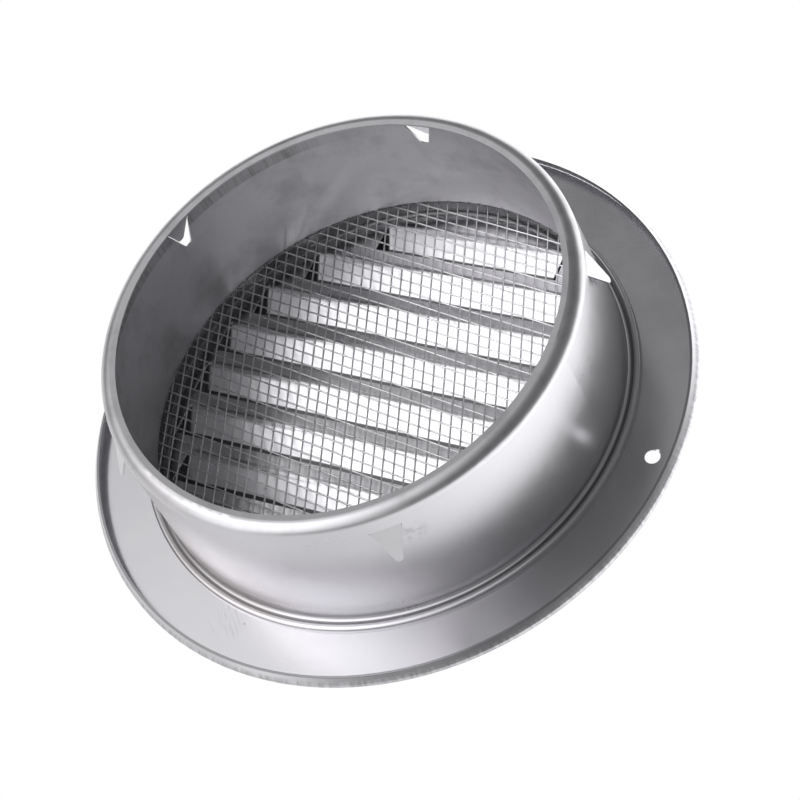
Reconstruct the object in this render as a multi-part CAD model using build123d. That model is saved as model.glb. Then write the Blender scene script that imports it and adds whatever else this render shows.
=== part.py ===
"""Exhaust vent cap for a 150 mm duct: louvred cover, barbed collar and insect mesh.

All sizes are in millimetres. The pieces are drawn in a working frame that looks at the vent from behind:
u to the right, v up, h towards the wall. They are turned into the mounted frame at the end: front to -Y,
collar to +Y, up +Z, with the origin on the axis in the plane of the wall.
"""
import math
import os

from build123d import *

os.makedirs("parts", exist_ok=True)

# Sheet and wire
cover_sheet = 0.6
collar_sheet = 0.6
wire_d = 0.5

# Cover: rim, flange and face plate
rim_in_r = 96.4
lip_mouth_r = 94.0
lip_height = 3.4
rim_bend = 0.8
plate_depth = 5.6
step_run = 0.6
step_bend = 1.2
plate_bend = 1.6

# Louvres
louvre_pitch = 16.0
louvre_count = 8
scoop_height = 10.9
scoop_depth = 4.8
scoop_bend = 5.0
face_top = 65.4
louvre_circle_r = 73.0
louvre_half_max = 70.4
end_slope = 0.55
scoop_corner = 1.8
shear_gap = 0.2

# Wall screws
screw_hole_r = 2.3
screw_circle_r = 88.1
nick_r = 0.55

# Collar
spigot_r = 73.4
base_r = 75.2
collar_length = 45.2
lip_in_r = 67.9
lip_drop = 0.45
shoulder_bend = 3.6
foot_run = 3.8
foot_bend = 1.0
base_fillet = 0.8

# Barbs: angle round the collar seen from behind and distance of the root from the rear edge, then their shape
barbs = ((27.0, 5.8), (96.4, 5.8), (162.5, 5.8), (229.5, 5.8), (305.9, 7.0))
barb_width = 9.4
barb_length = 12.0
barb_tip_r = 1.3
barb_lift = 5.3
barb_gap = 0.15

# Mesh: the directions of its two sets of wires and the coarse gaps of this solid
along_deg = -6.2
across_deg = 111.0
gap_pitch = 12.6
bar_width = 1.8
mesh_margin = 1.1
rim_clearance = 0.5

# Heights along the axis that several pieces share
flange_rear = -lip_height
plate_rear = flange_rear - plate_depth
mesh_t = 2 * wire_d
foot_top = flange_rear + mesh_t + collar_sheet
foot_r = base_r + foot_run
step_out_r = base_r + 1.0
step_in_r = step_out_r - step_run
collar_in_r = base_r - collar_sheet
mesh_r = foot_r - collar_sheet - rim_clearance

# Mounted frame as a plane: its x is u, its y is v and its z is h
MOUNTED = Plane(origin=(0, 0, 0), x_dir=(-1, 0, 0), z_dir=(0, 1, 0))


def sheet_section(points, bends, sheet):
    """Face of a bent strip in the r and h plane, with the given points on one face and the sheet to their left."""
    steps = []
    for a, b in zip(points, points[1:]):
        length = math.hypot(b[0] - a[0], b[1] - a[1])
        steps.append(((b[0] - a[0]) / length, (b[1] - a[1]) / length))
    back = []
    back_bends = []
    for i, (r, h) in enumerate(points):
        before = steps[max(i - 1, 0)]
        after = steps[min(i, len(steps) - 1)]
        turn = before[0] * after[1] - before[1] * after[0]
        share = 1 + before[0] * after[0] + before[1] * after[1]
        back.append((r - sheet * (before[1] + after[1]) / share, h + sheet * (before[0] + after[0]) / share))
        if 0 < i < len(points) - 1:
            back_bends.append(bends[i - 1] + (sheet if turn < 0 else -sheet))
    outline = list(points) + back[::-1]
    radii = [0, *bends, 0, 0, *back_bends[::-1], 0]
    return make_face(FilletPolyline(*outline, radius=radii, close=True))


def ring(section):
    """Solid swept by a section of the r and h plane round the axis."""
    return revolve(Plane.XZ * section, Axis.Z)


def scoop_form(v_slit, grow, top, corner):
    """Solid inside one louvre scoop up to a height, grown by a sheet thickness for its outside."""
    height = min(scoop_height, face_top - v_slit)
    far_corner = max(abs(v_slit), abs(v_slit + height))
    half = min(math.sqrt(louvre_circle_r**2 - far_corner**2), louvre_half_max)
    tilt = math.atan2(scoop_depth, height)
    level = plate_rear - grow
    roof = plate_rear + scoop_bend
    bend_v = v_slit + height + grow * math.tan(tilt / 2)
    lip_h = level - (bend_v - v_slit) * math.tan(tilt)
    end_v = bend_v + scoop_bend * math.tan(tilt / 2) + 0.1
    side = FilletPolyline(
        (v_slit, lip_h),
        (v_slit, roof),
        (end_v, roof),
        (end_v, level),
        (bend_v, level),
        radius=[0, 0, 0, 0, scoop_bend - grow],
        close=True,
    )
    half_roof = half + grow * math.hypot(1, end_slope) + end_slope * (roof - plate_rear)
    half_lip = half_roof - end_slope * (roof - lip_h)
    ends = Polyline((-half_roof, roof), (half_roof, roof), (half_lip, lip_h), (-half_lip, lip_h), close=True)
    bar = extrude(Plane.YZ * make_face(side), rim_in_r, both=True)
    form = bar & extrude(Plane.XZ * make_face(ends), rim_in_r, both=True)
    blade_ends = []
    for edge in form.edges():
        middle = edge.center()
        if abs(middle.X) > 1 and v_slit + 0.01 < middle.Y < end_v - 0.01 and middle.Z < roof - 0.01:
            blade_ends.append(edge)
    below = Pos(0, 0, top) * Box(4 * rim_in_r, 4 * rim_in_r, 40, align=(Align.CENTER, Align.CENTER, Align.MAX))
    return fillet(blade_ends, corner) & below


def make_cover():
    """Cover: rim, flange and face plate from one section, then the louvres and the screw holes."""
    lip_lean = (rim_in_r - lip_mouth_r) / lip_height
    section = sheet_section(
        [
            (lip_mouth_r - lip_lean, 1.0),
            (rim_in_r, flange_rear),
            (step_out_r, flange_rear),
            (step_in_r, plate_rear),
            (0, plate_rear),
        ],
        [rim_bend, step_bend, plate_bend],
        cover_sheet,
    )
    cover = ring(section)
    cover -= Cylinder(2 * rim_in_r, 10, align=(Align.CENTER, Align.CENTER, Align.MIN))
    first = louvre_pitch * (louvre_count - 1) / 2
    for i in range(louvre_count):
        v_slit = first - i * louvre_pitch
        cover += scoop_form(v_slit, cover_sheet, plate_rear - cover_sheet / 2, scoop_corner + cover_sheet)
    for i in range(louvre_count):
        v_slit = first - i * louvre_pitch
        inside = scoop_form(v_slit, 0, plate_rear + cover_sheet, scoop_corner)
        cover -= inside + Pos(0, -shear_gap, 0) * inside
    for sign in (1, -1):
        cover -= Pos(sign * screw_circle_r, 0, flange_rear) * Cylinder(screw_hole_r, 4 * cover_sheet)
    nick = Pos(screw_circle_r + 0.7, screw_hole_r - 0.1, flange_rear)
    cover -= nick * Cylinder(nick_r, 4 * cover_sheet)
    return cover


def barb_outline(grow):
    """Triangle with a rounded tip in the tangent and height plane: root at the top, tip to the front."""
    half = barb_width / 2 + grow
    tip = barb_length + grow
    outline = FilletPolyline(
        (-half, 1.5),
        (half, 1.5),
        (half, 0),
        (0, -tip - 0.9 * barb_tip_r),
        (-half, 0),
        radius=[0, 0, 0.6, barb_tip_r + grow, 0.6],
        close=True,
    )
    return make_face(outline)


def barb_prism(angle, root_h, outline):
    """Outline pushed through the collar wall at an angle round the axis and a height of the root."""
    place = Plane(origin=(0, 0, root_h), x_dir=(0, 1, 0), z_dir=(1, 0, 0))
    return Rot(0, 0, angle) * extrude(place * outline, spigot_r + 15)


def wall_r(h):
    """Outer radius of the tapered collar wall at a height."""
    return spigot_r + (base_r - spigot_r) * (collar_length - h) / (collar_length - foot_top)


def make_collar():
    """Collar: foot, tapered wall and turned-in rear edge from one section, then the barbs."""
    section = sheet_section(
        [
            (foot_r, flange_rear),
            (foot_r, foot_top),
            (base_r, foot_top),
            (spigot_r, collar_length),
            (lip_in_r, collar_length - lip_drop),
        ],
        [foot_bend, base_fillet, shoulder_bend],
        collar_sheet,
    )
    collar = ring(section)
    inner = 0.15
    spread = 12
    for angle, root in barbs:
        root_h = collar_length - root
        root_r = wall_r(root_h)
        tongue = make_face(
            Polyline(
                (root_r - collar_sheet + inner, root_h + 1.0),
                (root_r - inner, root_h + 1.0),
                (root_r - inner, root_h),
                (root_r + barb_lift, root_h - barb_length - 1),
                (root_r + barb_lift - collar_sheet, root_h - barb_length - 1),
                (root_r - collar_sheet + inner, root_h - 0.4),
                close=True,
            )
        )
        below = Pos(0, 0, root_h) * Cylinder(2 * spigot_r, 40, align=(Align.CENTER, Align.CENTER, Align.MAX))
        collar -= barb_prism(angle, root_h, barb_outline(barb_gap)) & below
        sweep = Rot(0, 0, angle - spread / 2) * revolve(Plane.XZ * tongue, Axis.Z, spread)
        collar += sweep & barb_prism(angle, root_h, barb_outline(0))
    return collar


def make_mesh():
    """Mesh disc: crossing bars between slanted gaps, inside a plain rim."""
    mesh = Pos(0, 0, flange_rear) * Cylinder(mesh_r, mesh_t, align=(Align.CENTER, Align.CENTER, Align.MIN))
    a = math.radians(along_deg)
    b = math.radians(across_deg)
    side = gap_pitch / math.sin(b - a)
    hole = (gap_pitch - bar_width) / math.sin(b - a) / 2
    corners = []
    for p, q in ((1, 1), (-1, 1), (-1, -1), (1, -1)):
        x = hole * (p * math.cos(a) + q * math.cos(b))
        y = hole * (p * math.sin(a) + q * math.sin(b))
        corners.append((x, y))
    gap = extrude(make_face(Polyline(*corners, close=True)), 4 * mesh_t, both=True)
    window = Cylinder(collar_in_r - mesh_margin, 20)
    reach = math.ceil(mesh_r / gap_pitch) + 3
    gaps = []
    for i in range(-reach, reach + 1):
        for j in range(-reach, reach + 1):
            x = side * (i * math.cos(a) + j * math.cos(b))
            y = side * (i * math.sin(a) + j * math.sin(b))
            if math.hypot(x, y) < collar_in_r - mesh_margin:
                gaps.append(Pos(x, y, flange_rear) * gap & window)
    return mesh - gaps


for node, solid in (
    ("louvre_cover", make_cover()),
    ("duct_collar", make_collar()),
    ("insect_mesh", make_mesh()),
):
    export_step(MOUNTED * solid, f"parts/{node}.step")
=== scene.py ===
"""Looks of a stainless exhaust vent cap: louvred cover, barbed duct collar and woven insect mesh.

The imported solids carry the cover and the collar. The fine woven wire is made here and stands for the
coarse mesh solid, and a thin skin rounds the collar's foot.
Everything is in metres in the mounted frame: front to -Y, collar to +Y, up +Z.
"""
import logging
import math
from dataclasses import dataclass, field
from enum import Enum
from typing import Any

import bpy
from mathutils import Matrix, Vector


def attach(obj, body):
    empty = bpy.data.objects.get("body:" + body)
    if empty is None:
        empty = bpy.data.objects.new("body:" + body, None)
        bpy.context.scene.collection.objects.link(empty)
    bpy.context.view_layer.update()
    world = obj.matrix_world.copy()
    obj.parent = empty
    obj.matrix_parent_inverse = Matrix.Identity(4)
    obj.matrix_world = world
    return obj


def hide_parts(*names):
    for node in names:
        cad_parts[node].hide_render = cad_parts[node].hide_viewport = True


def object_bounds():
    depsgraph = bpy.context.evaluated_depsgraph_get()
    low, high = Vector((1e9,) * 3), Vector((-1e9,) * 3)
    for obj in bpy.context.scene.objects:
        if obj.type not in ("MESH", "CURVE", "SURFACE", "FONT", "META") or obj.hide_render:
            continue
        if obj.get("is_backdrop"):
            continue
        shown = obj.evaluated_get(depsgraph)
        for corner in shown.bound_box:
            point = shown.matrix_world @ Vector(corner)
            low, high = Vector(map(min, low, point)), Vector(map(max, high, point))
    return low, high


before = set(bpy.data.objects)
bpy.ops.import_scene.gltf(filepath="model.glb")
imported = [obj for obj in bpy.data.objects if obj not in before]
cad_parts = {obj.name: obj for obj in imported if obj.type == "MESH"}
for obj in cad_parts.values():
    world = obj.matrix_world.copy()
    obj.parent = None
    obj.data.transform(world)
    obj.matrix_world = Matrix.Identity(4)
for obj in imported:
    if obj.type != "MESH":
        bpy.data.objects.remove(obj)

LOG = logging.getLogger("vent_cap")
MM = 0.001


class Desk:
    """Adds nodes to one tree and links them."""

    def __init__(self, tree: bpy.types.NodeTree) -> None:
        """Keeps the tree that the nodes go into."""
        self.tree = tree

    def add(self, kind: str, **settings: Any) -> bpy.types.Node:
        """Adds one node.

        Args:
            kind: Blender's name of the node type.
            settings: attributes of the node, set by name.

        Returns:
            The new node.
        """
        node = self.tree.nodes.new(kind)
        for name, value in settings.items():
            setattr(node, name, value)
        return node

    def feed(self, socket: bpy.types.NodeSocket, value: Any) -> None:
        """Links a socket to an input, or writes a plain value into it."""
        if isinstance(value, bpy.types.NodeSocket):
            self.tree.links.new(value, socket)
        else:
            socket.default_value = value

    def maths(self, operation: str, *values: Any) -> bpy.types.NodeSocket:
        """Adds a Math node.

        Args:
            operation: the node's operation.
            values: sockets or numbers for its inputs, in order.

        Returns:
            The result's socket.
        """
        node = self.add("ShaderNodeMath", operation=operation)
        for socket, value in zip(node.inputs, values):
            self.feed(socket, value)
        return node.outputs[0]

    def product(self, first: Any, *others: Any) -> Any:
        """Multiplies values in order and returns the result."""
        for other in others:
            first = self.maths("MULTIPLY", first, other)
        return first

    def vectors(self, operation: str, *values: Any) -> bpy.types.Node:
        """Adds a Vector Math node, fed in order, and returns the node."""
        node = self.add("ShaderNodeVectorMath", operation=operation)
        for socket, value in zip(node.inputs, values):
            self.feed(socket, value)
        return node

    def ramp(self, value: Any, low: float, high: float, out_low: float = 0.0, out_high: float = 1.0,
             smooth: bool = True) -> bpy.types.NodeSocket:
        """Adds a clamped Map Range node.

        Args:
            value: the socket to map.
            low: input at the start of the ramp.
            high: input at the end of the ramp.
            out_low: result at the start.
            out_high: result at the end.
            smooth: whether the ramp eases in and out.

        Returns:
            The mapped socket.
        """
        node = self.add("ShaderNodeMapRange", interpolation_type="SMOOTHSTEP" if smooth else "LINEAR")
        limits = {"From Min": low, "From Max": high, "To Min": out_low, "To Max": out_high}
        for name, number in limits.items():
            node.inputs[name].default_value = number
        self.feed(node.inputs["Value"], value)
        return node.outputs["Result"]

    def window(self, value: Any, rise_from: float, rise_to: float, fall_from: float,
               fall_to: float) -> bpy.types.NodeSocket:
        """Adds a soft window over a value.

        Args:
            value: the socket to test.
            rise_from: where the result starts to rise from 0.
            rise_to: where it reaches 1.
            fall_from: where it starts to fall.
            fall_to: where it is 0 again.

        Returns:
            The window's socket.
        """
        return self.product(self.ramp(value, rise_from, rise_to), self.ramp(value, fall_to, fall_from))

    def mix(self, factor: Any, first: Any, second: Any) -> bpy.types.NodeSocket:
        """Blends two colours by a factor and returns the result's socket."""
        node = self.add("ShaderNodeMix", data_type="RGBA")
        for index, value in ((0, factor), (6, first), (7, second)):
            self.feed(node.inputs[index], value)
        return node.outputs[2]

    def noise(self, where: Any, scale: float, detail: float = 2.0,
              rough: float = 0.5) -> bpy.types.NodeSocket:
        """Adds a Noise Texture read at a vector and returns its value."""
        node = self.add("ShaderNodeTexNoise", noise_dimensions="3D")
        node.inputs["Scale"].default_value = scale
        node.inputs["Detail"].default_value = detail
        node.inputs["Roughness"].default_value = rough
        self.feed(node.inputs["Vector"], where)
        return node.outputs["Fac"]

    def grain(self, across: Any, along: Any, across_scale: float, along_scale: float, detail: float = 3.0,
              rough: float = 0.6) -> bpy.types.NodeSocket:
        """Adds noise that is fine in one direction and drawn out in the other.

        Args:
            across: place across the lines.
            along: place along the lines.
            across_scale: lines for each unit across.
            along_scale: changes for each unit along.
            detail: the noise's detail.
            rough: the noise's roughness.

        Returns:
            The noise's value.
        """
        where = self.add("ShaderNodeCombineXYZ")
        self.feed(where.inputs["X"], self.maths("MULTIPLY", across, across_scale))
        self.feed(where.inputs["Y"], self.maths("MULTIPLY", along, along_scale))
        return self.noise(where.outputs[0], 1.0, detail, rough)


class Spot:
    """Sockets for the place of a shaded point, in millimetres in the mounted frame."""

    def __init__(self, desk: Desk) -> None:
        """Adds the coordinate nodes.

        Args:
            desk: the desk of the material's tree.
        """
        self.metres = desk.add("ShaderNodeTexCoord").outputs["Object"]
        scaled = desk.vectors("SCALE", self.metres)
        scaled.inputs["Scale"].default_value = 1.0 / MM
        self.mm = scaled.outputs[0]
        apart = desk.add("ShaderNodeSeparateXYZ")
        desk.feed(apart.inputs[0], self.mm)
        self.x, self.y, self.z = apart.outputs
        self.r = desk.maths("SQRT", desk.maths("ADD", desk.maths("MULTIPLY", self.x, self.x),
                                               desk.maths("MULTIPLY", self.z, self.z)))
        self.angle = desk.maths("ARCTAN2", self.z, self.x)


@dataclass(frozen=True)
class SatinSteel:
    """Cold-rolled stainless sheet with a satin skin."""

    name: str
    light: tuple[float, float, float]
    dark: tuple[float, float, float]
    rough_low: float
    rough_high: float
    mottle_scale: float = 34.0
    ripple: float = 0.008

    def tone(self, desk: Desk, spot: Spot) -> Any:
        """Brightness that the piece's own marks and its painted shade and highlight leave, 1 where there is
        none.
        """
        return 1.0

    def blur(self, desk: Desk, spot: Spot) -> Any:
        """Roughness that the piece's own marks add."""
        return 0.0

    def tint(self, desk: Desk, spot: Spot) -> Any:
        """Colour that the piece's own stains leave, white where there is none."""
        return (1.0, 1.0, 1.0)

    def facing(self, desk: Desk, spot: Spot) -> bpy.types.NodeSocket | None:
        """Normal that the ripples start from, or none for the surface's own."""
        return None

    def build(self) -> bpy.types.Material:
        """Makes the material.

        Returns:
            A node material that reads Object coordinates.
        """
        material = bpy.data.materials.new(self.name)
        material.use_nodes = True
        desk = Desk(material.node_tree)
        shader = material.node_tree.nodes["Principled BSDF"]
        shader.inputs["Metallic"].default_value = 1.0
        spot = Spot(desk)
        mottle = desk.noise(spot.metres, self.mottle_scale, 4.0, 0.6)
        fine = desk.noise(spot.metres, 9.0 * self.mottle_scale, 3.0, 0.65)
        skin = desk.mix(desk.ramp(mottle, 0.32, 0.68), (*self.dark, 1.0), (*self.light, 1.0))
        shade = desk.vectors("SCALE", skin)
        desk.feed(shade.inputs["Scale"], self.tone(desk, spot))
        stained = desk.vectors("MULTIPLY", shade.outputs[0], self.tint(desk, spot))
        desk.feed(shader.inputs["Base Color"], stained.outputs[0])
        grit = desk.maths("MULTIPLY_ADD", fine, 0.4, mottle)
        cloud = desk.ramp(grit, 0.45, 0.95, self.rough_low, self.rough_high)
        desk.feed(shader.inputs["Roughness"], desk.maths("ADD", cloud, self.blur(desk, spot)))
        bump = desk.add("ShaderNodeBump")
        bump.inputs["Strength"].default_value = 1.0
        bump.inputs["Distance"].default_value = self.ripple * MM
        desk.feed(bump.inputs["Height"], desk.noise(spot.metres, 1.6 * self.mottle_scale, 1.0, 0.4))
        facing = self.facing(desk, spot)
        if facing is not None:
            desk.feed(bump.inputs["Normal"], facing)
        desk.feed(shader.inputs["Normal"], bump.outputs["Normal"])
        return material


@dataclass(frozen=True)
class LouvreField:
    """Where a point of the cover lies in its pressed louvres, in millimetres."""

    above: bpy.types.NodeSocket
    depth: bpy.types.NodeSocket
    off_end: bpy.types.NodeSocket
    on_blade: bpy.types.NodeSocket
    inner: bpy.types.NodeSocket


@dataclass(frozen=True)
class CoverSteel(SatinSteel):
    """The cover's steel: painted shade in the louvres, on the step and along the lip's edge, a painted
    highlight on the blades, scuffs on the flange and streaks on the rim.

    Lengths and places are in millimetres. The first group follows the solid; the rest is finish, painted
    shade and the blades' painted highlight.
    """

    pitch: float = 16.0
    lowest: float = -56.0
    height: float = 10.9
    face_top: float = 65.4
    circle_r: float = 73.0
    half_max: float = 70.4
    slope: float = 0.55
    plate_y: float = -9.0
    fall: float = 4.8
    flange_y: float = -3.4
    step_r: float = 75.6
    step_slope: float = 0.107
    rim_r: float = 95.2

    bow_deg: float = 19.8
    sag: float = 0.17
    sag_from: float = -10.0
    # painted highlight: the blades' colour is brightened by this gain
    blade_highlight_gain: float = 0.25
    blade_blur: float = 0.06
    rim_fade: float = 0.6
    rim_blur: float = 0.10
    # The slit, crease, louvre, step and lip values below set painted shade, darkened into the colour where
    # shade falls.
    slit_strip: float = 2.6
    slit_dark: float = 0.95
    crease_dark: float = 0.5
    louvre_dark: float = 0.94
    step_dark: float = 0.75
    lip_edge_shade: float = 0.5
    scuff_dark: float = 0.10
    streak_dark: float = 0.28
    scuff_at: tuple[float, float, float] = (15.3, -3.4, -82.3)
    scuff_side: tuple[float, float, float] = (0.741, 0.0, -0.672)
    scuff_run: tuple[float, float, float] = (0.672, 0.0, 0.741)

    def louvres(self, desk: Desk, spot: Spot) -> LouvreField:
        """Measures the shaded point against the louvre that it lies in.

        Args:
            desk: the desk of the material's tree.
            spot: the shaded point.

        Returns:
            Height above the slit, depth below the plate, distance from the end wall, and 1 on the blade's
            inside and on all of the inside.
        """
        above = desk.maths("FLOORED_MODULO", desk.maths("SUBTRACT", spot.z, self.lowest), self.pitch)
        slit = desk.maths("SUBTRACT", spot.z, above)
        upper = desk.maths("MINIMUM", desk.maths("ADD", slit, self.height), self.face_top)
        far = desk.maths("MAXIMUM", desk.maths("ABSOLUTE", slit), desk.maths("ABSOLUTE", upper))
        room = desk.maths("SUBTRACT", self.circle_r**2, desk.maths("MULTIPLY", far, far))
        half = desk.maths("MINIMUM", desk.maths("SQRT", room), self.half_max)
        depth = desk.maths("SUBTRACT", self.plate_y, spot.y)
        inset = desk.maths("SUBTRACT", half, desk.maths("ABSOLUTE", spot.x))
        off_end = desk.maths("SUBTRACT", inset, desk.maths("MULTIPLY", depth, self.slope))
        gone = desk.maths("DIVIDE", above, desk.maths("SUBTRACT", upper, slit))
        left = desk.maths("SUBTRACT", 1.0, gone)
        under = desk.maths("SUBTRACT", depth, desk.maths("MULTIPLY", left, self.fall))
        within = desk.window(spot.z, self.lowest - 0.4, self.lowest - 0.3,
                             self.face_top + 1.2, self.face_top + 1.6)
        on_blade = desk.product(desk.ramp(under, 0.45, 0.25), within)
        inner = desk.product(desk.ramp(under, 0.22, 0.12), within)
        return LouvreField(above, depth, off_end, on_blade, inner)

    def blade(self, desk: Desk, place: LouvreField) -> bpy.types.NodeSocket:
        """Finds the blades' insides, fading out where they meet the plate."""
        return desk.product(place.on_blade, desk.ramp(place.depth, 0.15, 0.9))

    def louvre_shade(self, desk: Desk, place: LouvreField) -> bpy.types.NodeSocket:
        """Finds where shade is painted: the corners at the louvres' ends, the strip beside each slit and the
        crease above each blade.

        Args:
            desk: the desk of the material's tree.
            place: the point's place in its louvre.

        Returns:
            1 where the painted shade is darkest, 0 elsewhere.
        """
        # painted shade in the corners at the louvres' ends
        corner = desk.product(desk.window(place.off_end, -0.25, -0.1, 0.5, 1.2), place.inner,
                              desk.ramp(place.depth, 0.03, 0.3))
        # painted shade in the strip beside each slit
        slit_shade = desk.product(desk.ramp(place.above, self.slit_strip + 0.4, self.slit_strip),
                             desk.ramp(place.depth, 1.0, 2.0), place.on_blade, self.slit_dark)
        # painted shade in the crease above each blade
        crease_shade = desk.product(desk.window(place.above, 10.7, 11.1, 11.6, 12.0), self.crease_dark,
                              desk.window(place.depth, -0.3, -0.2, 0.3, 0.4),
                              desk.ramp(place.off_end, 0.0, 4.0))
        return desk.maths("MAXIMUM", corner, desk.maths("MAXIMUM", slit_shade, crease_shade))

    def step_shade(self, desk: Desk, spot: Spot) -> bpy.types.NodeSocket:
        """Finds the inside of the drawn step between the flange and the plate, where shade is painted."""
        climb = desk.maths("SUBTRACT", spot.y, self.plate_y)
        skin = desk.maths("MULTIPLY_ADD", climb, self.step_slope, self.step_r)
        wall = desk.window(desk.maths("SUBTRACT", spot.r, skin), -1.6, -0.6, 0.2, 0.4)
        return desk.product(wall, desk.ramp(spot.y, self.flange_y + 0.2, self.flange_y - 0.5))

    def facing(self, desk: Desk, spot: Spot) -> bpy.types.NodeSocket:
        """Turns the shading on the blades to the slightly bowed face that pressing leaves."""
        place = self.louvres(desk, spot)
        mask = desk.product(self.blade(desk, place), desk.ramp(place.off_end, 0.6, 2.2))
        bow = math.radians(self.bow_deg)
        bowed = desk.add("ShaderNodeCombineXYZ")
        lean = desk.maths("MULTIPLY", desk.maths("MAXIMUM", spot.x, self.sag_from), -self.sag / self.half_max)
        desk.feed(bowed.inputs["X"], lean)
        bowed.inputs["Y"].default_value = math.cos(bow)
        bowed.inputs["Z"].default_value = -math.sin(bow)
        true = desk.add("ShaderNodeNewGeometry").outputs["Normal"]
        blend = desk.add("ShaderNodeMix", data_type="VECTOR")
        for index, value in ((0, mask), (4, true), (5, bowed.outputs[0])):
            desk.feed(blend.inputs[index], value)
        return desk.vectors("NORMALIZE", blend.outputs[1]).outputs[0]

    def scuffs(self, desk: Desk, spot: Spot) -> bpy.types.NodeSocket:
        """Finds the short parallel scuffs on the flange's lower side."""
        patch = desk.vectors("DISTANCE", spot.mm, self.scuff_at).outputs["Value"]
        across = desk.vectors("DOT_PRODUCT", spot.mm, self.scuff_side).outputs["Value"]
        along = desk.vectors("DOT_PRODUCT", spot.mm, self.scuff_run).outputs["Value"]
        lines = desk.grain(across, along, 1.3, 0.12, 2.0)
        return desk.product(desk.ramp(patch, 8.0, 3.5), desk.ramp(lines, 0.52, 0.64))

    def on_rim(self, desk: Desk, spot: Spot) -> bpy.types.NodeSocket:
        """Finds the rim's turned-back face."""
        return desk.ramp(spot.r, self.rim_r, self.rim_r + self.rim_fade)

    def streaks(self, desk: Desk, spot: Spot) -> bpy.types.NodeSocket:
        """Finds the drawing streaks that run across the rim's turned-back face."""
        lines = desk.ramp(desk.grain(spot.angle, spot.y, 70.0, 0.15), 0.36, 0.64)
        return desk.product(lines, self.on_rim(desk, spot))

    def tone(self, desk: Desk, spot: Spot) -> bpy.types.NodeSocket:
        """Paints shade into the louvres' corners, the step and the lip's edge, darkens the wear, and paints a
        highlight onto the blades.
        """
        place = self.louvres(desk, spot)
        dark = desk.product(self.louvre_shade(desk, place), self.louvre_dark)
        dark = desk.maths("MAXIMUM", dark, desk.product(self.step_shade(desk, spot), self.step_dark))
        # painted shade along the lip's mouth edge
        dark = desk.maths("MAXIMUM", dark, desk.ramp(spot.y, -0.14, -0.05, 0.0, self.lip_edge_shade))
        shade = desk.maths("SUBTRACT", 1.0, dark)
        wear_and_shade = desk.maths("MULTIPLY_ADD", self.scuffs(desk, spot), -self.scuff_dark, 1.0)
        drawn = desk.maths("MULTIPLY_ADD", self.streaks(desk, spot), -self.streak_dark, 1.0)
        # painted highlight: the blades' colour is brightened
        painted_blade_highlight = desk.maths("MULTIPLY_ADD", self.blade(desk, place), self.blade_highlight_gain, 1.0)
        return desk.product(shade, wear_and_shade, drawn, painted_blade_highlight)

    def blur(self, desk: Desk, spot: Spot) -> bpy.types.NodeSocket:
        """Dulls the rim's turned-back face and the blades."""
        blade = desk.product(self.blade(desk, self.louvres(desk, spot)), self.blade_blur)
        return desk.maths("ADD", blade, desk.product(self.on_rim(desk, spot), self.rim_blur))


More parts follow.
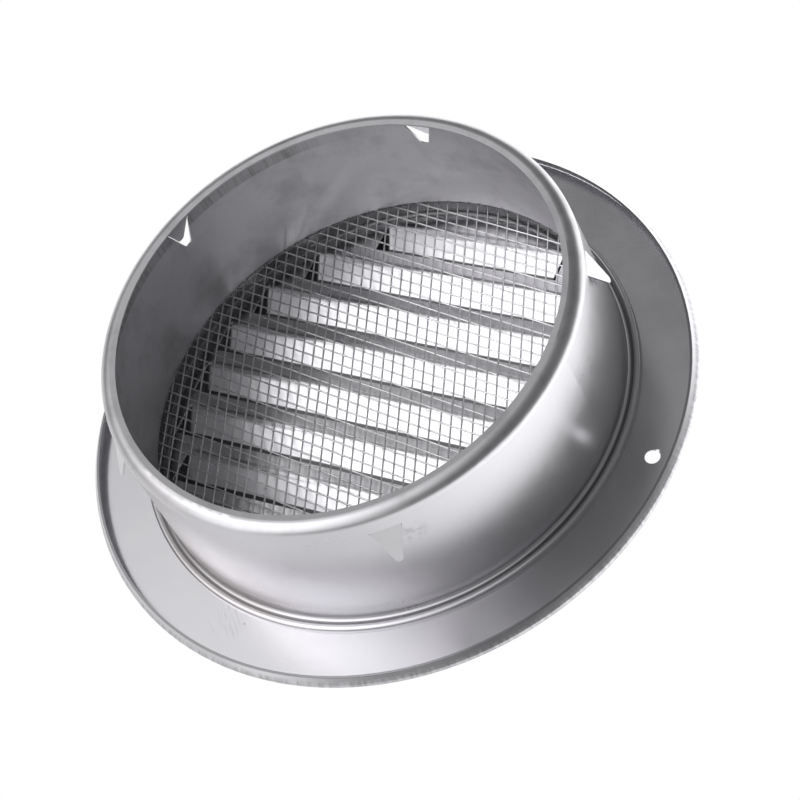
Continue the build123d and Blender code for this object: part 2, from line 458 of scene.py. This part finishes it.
@dataclass(frozen=True)
class CollarSteel(SatinSteel):
    """The collar's steel: a dull clouded inside, a streaked band of painted shade under the lip, painted
    shade in the foot's groove, a thumb smudge and a straw stain.

    Lengths and places are in millimetres.
    """

    skin_r: float = 73.1
    taper: float = 1.8 / 47.0
    rear: float = 45.2
    dull: float = 0.07
    cloud_dark: float = 0.22
    smudge_dark: float = 0.2
    # painted shade in the groove of the foot's hem
    groove_shade_dark: float = 0.7
    band_low: float = 34.8
    band_high: float = 43.6
    # side of the wall where the shade under the lip is painted
    shaded_side: tuple[float, float, float] = (0.985, 0.0, 0.173)
    smudge_at: tuple[float, float, float] = (-48.0, 32.6, -55.9)
    stain_at: tuple[float, float, float] = (28.0, 8.0, -70.0)
    straw: tuple[float, float, float] = (0.84, 0.815, 0.79)

    def tint(self, desk: Desk, spot: Spot) -> bpy.types.NodeSocket:
        """Warms the lower left of the wall, where handling has left a straw stain."""
        patch = desk.vectors("DISTANCE", spot.mm, self.stain_at).outputs["Value"]
        cloud = desk.noise(spot.metres, 45.0, 3.0, 0.6)
        stain = desk.product(desk.ramp(patch, 48.0, 14.0), desk.ramp(cloud, 0.2, 0.6, 0.55, 1.0))
        return desk.mix(stain, (1.0, 1.0, 1.0, 1.0), (*self.straw, 1.0))

    def tone(self, desk: Desk, spot: Spot) -> bpy.types.NodeSocket:
        """Darkens the smudge by the lowest barb and the clouds, and paints shade into the foot's groove and
        the streaked band under the lip.
        """
        patch = desk.vectors("DISTANCE", spot.mm, self.smudge_at).outputs["Value"]
        skin_lines = desk.noise(spot.metres, 420.0, 3.0, 0.7)
        smudge = desk.product(desk.ramp(patch, 5.5, 1.5),
                              desk.ramp(skin_lines, 0.40, 0.62, 0.0, self.smudge_dark))
        # painted shade in the groove between the foot's bead and the wall
        groove_shade = desk.product(desk.window(spot.r, 76.0, 76.3, 77.0, 77.3),
                              desk.ramp(spot.y, -1.1, -1.4, 0.0, self.groove_shade_dark))
        cloud = desk.noise(spot.metres, 70.0, 4.0, 0.65)
        clouds = desk.product(desk.ramp(cloud, 0.42, 0.75, 0.0, self.cloud_dark), self.inside(desk, spot))
        marks = desk.maths("ADD", desk.maths("ADD", smudge, groove_shade),
                           desk.maths("ADD", clouds, self.lip_streaks_and_shade(desk, spot)))
        return desk.maths("SUBTRACT", 1.0, marks)

    def inside(self, desk: Desk, spot: Spot) -> bpy.types.NodeSocket:
        """Finds the inside of the wall: 1 there, 0 on the outside."""
        drop = desk.maths("SUBTRACT", self.rear, spot.y)
        middle = desk.maths("MULTIPLY_ADD", drop, self.taper, self.skin_r)
        return desk.ramp(desk.maths("SUBTRACT", spot.r, middle), 0.1, -0.1)

    def lip_streaks_and_shade(self, desk: Desk, spot: Spot) -> bpy.types.NodeSocket:
        """Finds the streaked band inside the wall, just under the rear edge: painted shade under the
        turned-in lip, with streaks across it.
        """
        lines = desk.ramp(desk.grain(spot.angle, spot.r, 90.0, 0.25, 3.0, 0.65), 0.40, 0.70, 0.20, 0.42)
        # painted shade only on one side of the wall, past 40 to 60 mm along the shaded side
        wear_and_shade = desk.vectors("DOT_PRODUCT", spot.mm, self.shaded_side).outputs["Value"]
        band = desk.window(spot.y, self.band_low, self.band_low + 0.6, self.band_high - 0.4, self.band_high)
        return desk.product(lines, band, desk.ramp(wear_and_shade, 40.0, 60.0), self.inside(desk, spot))

    def blur(self, desk: Desk, spot: Spot) -> bpy.types.NodeSocket:
        """Dulls the inside of the wall."""
        return desk.product(self.inside(desk, spot), self.dull)


@dataclass(frozen=True)
class DrawnWire:
    """Bright drawn wire with faint die marks along it."""

    name: str
    light: tuple[float, float, float]
    dark: tuple[float, float, float]
    rough_low: float = 0.24
    rough_high: float = 0.38

    def build(self) -> bpy.types.Material:
        """Makes the wire's node material and returns it."""
        material = bpy.data.materials.new(self.name)
        material.use_nodes = True
        desk = Desk(material.node_tree)
        shader = material.node_tree.nodes["Principled BSDF"]
        shader.inputs["Metallic"].default_value = 1.0
        where = desk.add("ShaderNodeTexCoord").outputs["Object"]
        patches = desk.noise(where, 160.0, 3.0, 0.6)
        desk.feed(shader.inputs["Base Color"],
                  desk.mix(desk.ramp(patches, 0.3, 0.7), (*self.dark, 1.0), (*self.light, 1.0)))
        desk.feed(shader.inputs["Roughness"], desk.ramp(patches, 0.3, 0.7, self.rough_high, self.rough_low))
        return material


class WireSet(Enum):
    """The two sets of wires in the weave."""

    ALONG = 1
    ACROSS = -1


@dataclass
class InsectMesh:
    """Woven disc caught between the collar's foot and the flange, its two sets of wires out of square."""

    along_deg: float = -6.95
    across_deg: float = 110.25
    along_gap: float = 3.505 * MM
    across_gap: float = 3.39 * MM
    wire_r: float = 0.265 * MM
    reach: float = 76.8 * MM
    plane_y: float = -2.9 * MM
    shift_u: float = -2.48 * MM
    shift_v: float = 2.40 * MM
    waver: float = 0.2 * MM
    drift_scale: float = 22.0
    sample: float = 0.9 * MM
    sides: int = 6
    piece: bpy.types.Object | None = field(default=None, repr=False)

    @property
    def turn(self) -> float:
        """Angle between the two sets of wires."""
        return math.radians(self.across_deg - self.along_deg)

    def heading(self, wires: WireSet) -> tuple[float, float, float]:
        """Direction of one set in the mounted frame, from its angle seen from behind."""
        angle = math.radians(self.along_deg if wires is WireSet.ALONG else self.across_deg)
        return (-math.cos(angle), 0.0, math.sin(angle))

    def weave(self, desk: Desk, wires: WireSet, sizes: bpy.types.Node) -> bpy.types.NodeSocket:
        """Adds the nodes of one set of crimped wires.

        Args:
            desk: the tree's desk.
            wires: which set.
            sizes: the group's input node, with its named sizes.

        Returns:
            The wires' mesh.
        """
        own, other = ("Along", "Across") if wires is WireSet.ALONG else ("Across", "Along")
        sine, cosine = math.sin(self.turn), math.cos(self.turn)
        step = desk.maths("DIVIDE", sizes.outputs[own + " gap"], sine)
        crossing = desk.maths("DIVIDE", sizes.outputs[other + " gap"], sine)
        reach = sizes.outputs["Reach"]
        count = 2 * math.ceil(self.reach / min(self.along_gap, self.across_gap)) + 3
        line = desk.add("GeometryNodeMeshLine", mode="OFFSET")
        line.inputs["Count"].default_value = count
        line.inputs["Offset"].default_value = (0.0, 0.0, 0.0)
        number = desk.maths("SUBTRACT", desk.add("GeometryNodeInputIndex").outputs[0], (count - 1) / 2)
        place = desk.maths("MULTIPLY_ADD", number, step, sizes.outputs[own + " shift"])
        room = desk.maths("SUBTRACT", desk.maths("MULTIPLY", reach, reach),
                          desk.maths("POWER", desk.maths("MULTIPLY", place, sine), 2.0))
        drop = desk.add("GeometryNodeDeleteGeometry", domain="POINT")
        desk.feed(drop.inputs["Geometry"], line.outputs["Mesh"])
        desk.feed(drop.inputs["Selection"], desk.maths("LESS_THAN", room, 1e-5))
        keep = drop.outputs["Geometry"]
        stored = {}
        for name, value in (("number", number), ("place", place), ("half", desk.maths("SQRT", room))):
            capture = desk.add("GeometryNodeStoreNamedAttribute", data_type="FLOAT", domain="POINT")
            capture.inputs["Name"].default_value = f"{own.lower()}_{name}"
            desk.feed(capture.inputs["Geometry"], keep)
            desk.feed(capture.inputs["Value"], value)
            keep = capture.outputs["Geometry"]
            stored[name] = f"{own.lower()}_{name}"
        return self.crimp(desk, wires, keep, stored, cosine, crossing, sizes)

    def crimp(self, desk: Desk, wires: WireSet, points: bpy.types.NodeSocket, stored: dict[str, str],
              cosine: float, crossing: bpy.types.NodeSocket, sizes: bpy.types.Node) -> bpy.types.NodeSocket:
        """Adds the nodes that lay each wire out, bend it over and under, and give it its thickness.

        Args:
            desk: the tree's desk.
            wires: which set.
            points: one point for each wire.
            stored: names of the attributes that hold each wire's number, place and half length.
            cosine: cosine of the angle between the sets.
            crossing: distance between crossings along a wire.
            sizes: the group's input node.

        Returns:
            The wires' mesh.
        """
        def read(name: str) -> bpy.types.NodeSocket:
            """Reads one stored number of the wire."""
            node = desk.add("GeometryNodeInputNamedAttribute", data_type="FLOAT")
            node.inputs["Name"].default_value = stored[name]
            return node.outputs["Attribute"]

        bar = desk.add("GeometryNodeCurvePrimitiveLine", mode="POINTS")
        bar.inputs["Start"].default_value = (-1.0, 0.0, 0.0)
        bar.inputs["End"].default_value = (1.0, 0.0, 0.0)
        spread = desk.add("GeometryNodeInstanceOnPoints")
        desk.feed(spread.inputs["Points"], points)
        desk.feed(spread.inputs["Instance"], bar.outputs["Curve"])
        real = desk.add("GeometryNodeRealizeInstances")
        desk.feed(real.inputs["Geometry"], spread.outputs["Instances"])
        apart = desk.add("ShaderNodeSeparateXYZ")
        desk.feed(apart.inputs[0], desk.add("GeometryNodeInputPosition").outputs[0])
        along = desk.maths("MULTIPLY_ADD", apart.outputs["X"], read("half"),
                           desk.maths("MULTIPLY", read("place"), -cosine))
        other = WireSet.ACROSS if wires is WireSet.ALONG else WireSet.ALONG
        own_run = desk.vectors("SCALE", self.heading(wires))
        desk.feed(own_run.inputs["Scale"], along)
        side_run = desk.vectors("SCALE", self.heading(other))
        desk.feed(side_run.inputs["Scale"], read("place"))
        lay = desk.add("GeometryNodeSetPosition")
        desk.feed(lay.inputs["Geometry"], real.outputs["Geometry"])
        laid = desk.vectors("ADD", own_run.outputs[0], side_run.outputs[0])
        desk.feed(lay.inputs["Position"], laid.outputs[0])
        keep_run = desk.add("GeometryNodeStoreNamedAttribute", data_type="FLOAT", domain="POINT")
        keep_run.inputs["Name"].default_value = stored["half"] + "_run"
        desk.feed(keep_run.inputs["Geometry"], lay.outputs["Geometry"])
        desk.feed(keep_run.inputs["Value"], along)
        stored["run"] = stored["half"] + "_run"
        split = desk.add("GeometryNodeResampleCurve", mode="LENGTH")
        desk.feed(split.inputs["Curve"], keep_run.outputs["Geometry"])
        split.inputs["Length"].default_value = self.sample
        phase = desk.maths("ADD", desk.maths("DIVIDE", read("run"), crossing), read("number"))
        lift = desk.maths("MULTIPLY", desk.maths("COSINE", desk.maths("MULTIPLY", phase, math.pi)),
                          desk.maths("MULTIPLY", sizes.outputs["Wire radius"], float(wires.value)))
        where = desk.add("GeometryNodeInputPosition").outputs[0]
        drift = desk.add("ShaderNodeTexNoise", noise_dimensions="3D")
        drift.inputs["Scale"].default_value = self.drift_scale
        drift.inputs["Detail"].default_value = 1.0
        desk.feed(drift.inputs["Vector"], where)
        swing = desk.vectors("SUBTRACT", drift.outputs["Color"], (0.5, 0.5, 0.5))
        sway = desk.vectors("MULTIPLY", swing.outputs[0], (2 * self.waver, 0.0, 2 * self.waver))
        raise_to = desk.add("ShaderNodeCombineXYZ")
        desk.feed(raise_to.inputs["Y"], desk.maths("ADD", lift, sizes.outputs["Plane"]))
        bend = desk.add("GeometryNodeSetPosition")
        desk.feed(bend.inputs["Geometry"], split.outputs["Curve"])
        desk.feed(bend.inputs["Offset"], desk.vectors("ADD", sway.outputs[0], raise_to.outputs[0]).outputs[0])
        profile = desk.add("GeometryNodeCurvePrimitiveCircle", mode="RADIUS")
        profile.inputs["Resolution"].default_value = self.sides
        desk.feed(profile.inputs["Radius"], sizes.outputs["Wire radius"])
        skin = desk.add("GeometryNodeCurveToMesh")
        desk.feed(skin.inputs["Curve"], bend.outputs["Geometry"])
        desk.feed(skin.inputs["Profile Curve"], profile.outputs["Curve"])
        skin.inputs["Fill Caps"].default_value = True
        return skin.outputs["Mesh"]

    def tree(self) -> bpy.types.NodeTree:
        """Builds the weave's node tree with its named sizes.

        Returns:
            The tree.
        """
        group = bpy.data.node_groups.new("weave", "GeometryNodeTree")
        group.interface.new_socket("Geometry", in_out="OUTPUT", socket_type="NodeSocketGeometry")
        for name in ("Along gap", "Across gap", "Along shift", "Across shift", "Reach", "Wire radius",
                     "Plane"):
            group.interface.new_socket(name, in_out="INPUT", socket_type="NodeSocketFloat")
        group.interface.new_socket("Wire", in_out="INPUT", socket_type="NodeSocketMaterial")
        desk = Desk(group)
        sizes = desk.add("NodeGroupInput")
        join = desk.add("GeometryNodeJoinGeometry")
        for wires in WireSet:
            desk.feed(join.inputs[0], self.weave(desk, wires, sizes))
        real = desk.add("GeometryNodeRealizeInstances")
        desk.feed(real.inputs["Geometry"], join.outputs[0])
        soft = desk.add("GeometryNodeSetShadeSmooth")
        desk.feed(soft.inputs["Geometry"], real.outputs["Geometry"])
        dress = desk.add("GeometryNodeSetMaterial")
        desk.feed(dress.inputs["Geometry"], soft.outputs["Geometry"])
        desk.feed(dress.inputs["Material"], sizes.outputs["Wire"])
        desk.feed(desk.add("NodeGroupOutput").inputs["Geometry"], dress.outputs["Geometry"])
        return group

    def build(self, wire: bpy.types.Material) -> None:
        """Runs the weave's tree and keeps its result as one plain mesh in place of the coarse solid.

        Args:
            wire: the wire's material.
        """
        maker = bpy.data.objects.new("weave_maker", bpy.data.meshes.new("weave_maker"))
        bpy.context.scene.collection.objects.link(maker)
        modifier = maker.modifiers.new("weave", "NODES")
        modifier.node_group = self.tree()
        values = {"Along gap": self.along_gap, "Across gap": self.across_gap, "Along shift": self.shift_v,
                  "Across shift": self.shift_u, "Reach": self.reach, "Wire radius": self.wire_r,
                  "Plane": self.plane_y, "Wire": wire}
        for item in modifier.node_group.interface.items_tree:
            if item.in_out == "INPUT":
                modifier[item.identifier] = values[item.name]
        graph = bpy.context.evaluated_depsgraph_get()
        mesh = bpy.data.meshes.new_from_object(maker.evaluated_get(graph))
        mesh.name = "woven_wire"
        names = [layer.name for layer in mesh.attributes]
        for name in names:
            if name.startswith(("along_", "across_")):
                mesh.attributes.remove(mesh.attributes[name])
        maker.modifiers.remove(modifier)
        bpy.data.objects.remove(maker)
        self.piece = bpy.data.objects.new("woven_wire", mesh)
        bpy.context.scene.collection.objects.link(self.piece)
        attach(self.piece, "root")
        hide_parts("insect_mesh")


@dataclass
class HemRing:
    """Rolled skin of the collar's foot: a round bead, a groove, a small hollow and the start of the wall."""

    foot_r: float = 79.0
    flange_y: float = -3.4
    top_y: float = -1.8
    bead_r: float = 77.95
    bead_y: float = -2.5
    bead_rise: float = 1.05
    wall_r: float = 75.2
    hollow: float = 1.3
    wall_top: float = 3.0
    taper: float = 1.8 / 47.0
    proud: float = 0.05
    wall_proud: float = 0.012
    seat: float = 0.02
    skin: float = 0.35
    sharp_deg: float = 40.0
    bead_steps: int = 14
    arc_steps: int = 6
    turns: int = 420
    piece: bpy.types.Object | None = field(default=None, repr=False)

    def profile(self) -> list[tuple[float, float]]:
        """Lists the ring's closed section.

        Returns:
            Radius and height of each point in millimetres, along the skin and back through the sheet.
        """
        skin = [(self.foot_r + self.proud, self.flange_y + self.seat)]
        width = self.foot_r + self.proud - self.bead_r
        level = self.top_y + self.proud
        last = math.pi - math.asin((level - self.bead_y) / self.bead_rise)
        for i in range(self.bead_steps + 1):
            angle = last * i / self.bead_steps
            skin.append((self.bead_r + width * math.cos(angle),
                         self.bead_y + self.bead_rise * math.sin(angle)))
        middle = self.wall_r + self.proud + self.hollow
        for i in range(self.arc_steps + 1):
            angle = math.pi / 2 * i / self.arc_steps
            skin.append((middle - self.hollow * math.sin(angle),
                         level + self.hollow * (1.0 - math.cos(angle))))
        lean = self.taper * (self.wall_top - self.top_y)
        skin.append((self.wall_r + self.wall_proud - lean, self.wall_top))
        core = [(self.wall_r - self.skin - lean, self.wall_top), (self.wall_r - self.skin, level - self.skin)]
        core.append((self.foot_r - self.skin, self.flange_y + self.seat))
        return skin + core

    def build(self, steel: bpy.types.Material) -> None:
        """Turns the section round the axis.

        Args:
            steel: the collar's material.
        """
        section = self.profile()
        size = len(section)
        points, faces = [], []
        for turn in range(self.turns):
            angle = 2 * math.pi * turn / self.turns
            for r, y in section:
                points.append((r * MM * math.cos(angle), y * MM, r * MM * math.sin(angle)))
            start, after = turn * size, (turn + 1) % self.turns * size
            for i in range(size):
                j = (i + 1) % size
                faces.append((start + i, start + j, after + j, after + i))
        mesh = bpy.data.meshes.new("hem_ring")
        mesh.from_pydata(points, [], faces)
        mesh.shade_smooth()
        mesh.set_sharp_from_angle(angle=math.radians(self.sharp_deg))
        mesh.materials.append(steel)
        self.piece = bpy.data.objects.new("hem_ring", mesh)
        bpy.context.scene.collection.objects.link(self.piece)
        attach(self.piece, "root")
        LOG.info("turned %s", self.piece.name)


@dataclass
class SheetPiece:
    """A pressed sheet piece whose solid already has its shape."""

    node: str
    finish: SatinSteel

    def dress(self) -> bpy.types.Material:
        """Gives the solid its finish.

        Returns:
            The finish's material, for other pieces of the same sheet.
        """
        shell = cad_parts[self.node]
        material = self.finish.build()
        for slot in shell.material_slots:
            slot.material = material
        LOG.info("dressed %s", self.node)
        return material


@dataclass
class Studio:
    """Camera, surroundings and floor."""

    lens: float = 94.73
    stand: tuple[float, float, float] = (-0.3081, 0.4942, -0.2582)
    right: tuple[float, float, float] = (-0.8600, -0.31675, 0.40011)
    above: tuple[float, float, float] = (0.18344, 0.53977, 0.82159)
    hot: tuple[float, float, float] = (0.4837, 0.856, -0.183)
    hot_glow: float = 1.3
    fill: float = 0.16
    far_glow: float = 0.20
    front_glow: float = 0.7
    sweep_left: float = 0.85
    sweep_right: float = 1.6
    floor_z: float = -0.95
    floor_half: float = 3.0

    def camera(self) -> None:
        """Places the camera at the photograph's viewing angle."""
        data = bpy.data.cameras.new("camera")
        data.lens = self.lens
        data.sensor_width = 36.0
        data.clip_start = 0.01
        camera = bpy.data.objects.new("camera", data)
        right = Vector(self.right).normalized()
        back = right.cross(Vector(self.above)).normalized()
        above = back.cross(right)
        turn = Matrix((right, above, back)).transposed()
        camera.matrix_world = Matrix.Translation(self.stand) @ turn.to_4x4()
        bpy.context.scene.collection.objects.link(camera)
        bpy.context.scene.camera = camera

    def overhead(self, desk: Desk, where: Any, away: Any, across: Any, rise: Any) -> bpy.types.NodeSocket:
        """Adds the light on the collar's side: two soft lamps on the left, a hot spot and a fill.

        Args:
            desk: the desk of the world's tree.
            where: the direction looked in.
            away: its part away from the camera.
            across: its part to the right.
            rise: its part along the collar's axis.

        Returns:
            The strength in that direction.
        """
        far_lamp = desk.ramp(across, -0.15, -0.4, 0.0, self.far_glow)
        lean = desk.maths("SUBTRACT", rise, away)
        lamp = desk.product(desk.maths("ADD", desk.ramp(across, 0.15, -0.09), far_lamp),
                            desk.ramp(away, -0.80, -0.05), desk.ramp(lean, -0.25, 0.25, smooth=False))
        front = desk.product(desk.ramp(away, 0.1, -0.25, 0.0, self.front_glow), desk.ramp(rise, 0.15, 0.45),
                             desk.ramp(across, -0.15, -0.5))
        near = desk.vectors("DOT_PRODUCT", where, Vector(self.hot).normalized()).outputs["Value"]
        hot_spot = desk.ramp(near, 0.945, 0.985, 0.0, self.hot_glow)
        upper = desk.maths("ADD", desk.maths("ADD", lamp, self.fill), hot_spot)
        return desk.maths("ADD", upper, front)

    def surroundings(self) -> None:
        """Makes a studio: soft lamps on the collar's side and a white sweep on the cover's side."""
        world = bpy.data.worlds.new("studio")
        bpy.context.scene.world = world
        world.use_nodes = True
        desk = Desk(world.node_tree)
        sky = world.node_tree.nodes["Background"]
        where = desk.add("ShaderNodeTexCoord").outputs["Generated"]
        flat = Vector((-self.stand[0], 0.0, -self.stand[2])).normalized()
        side = flat.cross(Vector((0.0, 1.0, 0.0)))
        away = desk.vectors("DOT_PRODUCT", where, tuple(flat)).outputs["Value"]
        across = desk.vectors("DOT_PRODUCT", where, tuple(side)).outputs["Value"]
        apart = desk.add("ShaderNodeSeparateXYZ")
        desk.feed(apart.inputs[0], where)
        rise = apart.outputs["Y"]
        upper = self.overhead(desk, where, away, across, rise)
        sweep = desk.product(desk.ramp(across, -0.7, 0.7, self.sweep_left, self.sweep_right),
                             desk.ramp(rise, -0.86, -0.97, 1.0, 0.45))
        wall = desk.product(desk.ramp(rise, 0.24, 0.04), desk.ramp(away, -0.1, 0.35))
        glow = desk.add("ShaderNodeMix", data_type="FLOAT")
        desk.feed(glow.inputs[0], desk.maths("MAXIMUM", desk.ramp(rise, 0.06, -0.12), wall))
        desk.feed(glow.inputs[2], upper)
        desk.feed(glow.inputs[3], sweep)
        seen = desk.add("ShaderNodeLightPath").outputs["Is Camera Ray"]
        strength = desk.add("ShaderNodeMix", data_type="FLOAT")
        desk.feed(strength.inputs[0], seen)
        desk.feed(strength.inputs[2], glow.outputs[0])
        strength.inputs[3].default_value = 1.0
        sky.inputs["Color"].default_value = (1.0, 1.0, 1.0, 1.0)
        desk.feed(sky.inputs["Strength"], strength.outputs[0])

    def floor(self) -> None:
        """Lays a plain pale floor well below the object and the camera."""
        half, low = self.floor_half, self.floor_z
        mesh = bpy.data.meshes.new("floor")
        mesh.from_pydata([(-half, -half, low), (half, -half, low), (half, half, low), (-half, half, low)], [],
                         [(0, 1, 2, 3)])
        floor = bpy.data.objects.new("floor", mesh)
        bpy.context.scene.collection.objects.link(floor)
        material = bpy.data.materials.new("pale_floor")
        material.use_nodes = True
        desk = Desk(material.node_tree)
        shader = material.node_tree.nodes["Principled BSDF"]
        shader.inputs["Roughness"].default_value = 0.9
        where = desk.add("ShaderNodeTexCoord").outputs["Object"]
        cloud = desk.noise(where, 2.0, 2.0)
        pale_mix = desk.mix(cloud, (0.84, 0.84, 0.84, 1.0), (0.88, 0.88, 0.88, 1.0))
        desk.feed(shader.inputs["Base Color"], pale_mix)
        path = desk.add("ShaderNodeLightPath")
        pale = desk.add("ShaderNodeMixShader")
        mirrored = desk.add("ShaderNodeMixShader")
        desk.feed(pale.inputs[0], desk.maths("MULTIPLY", path.outputs["Is Camera Ray"], 0.85))
        desk.feed(pale.inputs[1], shader.outputs[0])
        desk.feed(pale.inputs[2], desk.add("ShaderNodeEmission").outputs[0])
        desk.feed(mirrored.inputs[0], path.outputs["Is Glossy Ray"])
        desk.feed(mirrored.inputs[1], pale.outputs[0])
        desk.feed(mirrored.inputs[2], desk.add("ShaderNodeBsdfTransparent").outputs[0])
        desk.feed(material.node_tree.nodes["Material Output"].inputs["Surface"], mirrored.outputs[0])
        mesh.materials.append(material)
        floor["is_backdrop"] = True

    def build(self) -> None:
        """Sets up the camera, the surroundings and the floor."""
        bpy.context.scene.view_settings.view_transform = "Standard"
        self.camera()
        self.surroundings()
        self.floor()


def main() -> None:
    """Builds the vent cap's pieces in order and reports each one."""
    logging.basicConfig(level=logging.INFO, format="%(name)s %(message)s")
    solid_box = tuple(corner.copy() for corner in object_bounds())
    cover_finish = CoverSteel("cover_satin", (0.69, 0.682, 0.708), (0.65, 0.642, 0.672), 0.22, 0.27)
    collar_finish = CollarSteel("collar_satin", (0.69, 0.682, 0.708), (0.66, 0.652, 0.678), 0.27, 0.32)
    cover = SheetPiece("louvre_cover", cover_finish)
    collar = SheetPiece("duct_collar", collar_finish)
    cover.dress()
    collar_steel = collar.dress()
    HemRing().build(collar_steel)
    mesh = InsectMesh()
    mesh.build(DrawnWire("drawn_wire", (0.86, 0.86, 0.87), (0.78, 0.78, 0.79)).build())
    LOG.info("wove %s with %d faces", mesh.piece.name, len(mesh.piece.data.polygons))
    Studio().build()


if __name__ == "__main__":
    main()
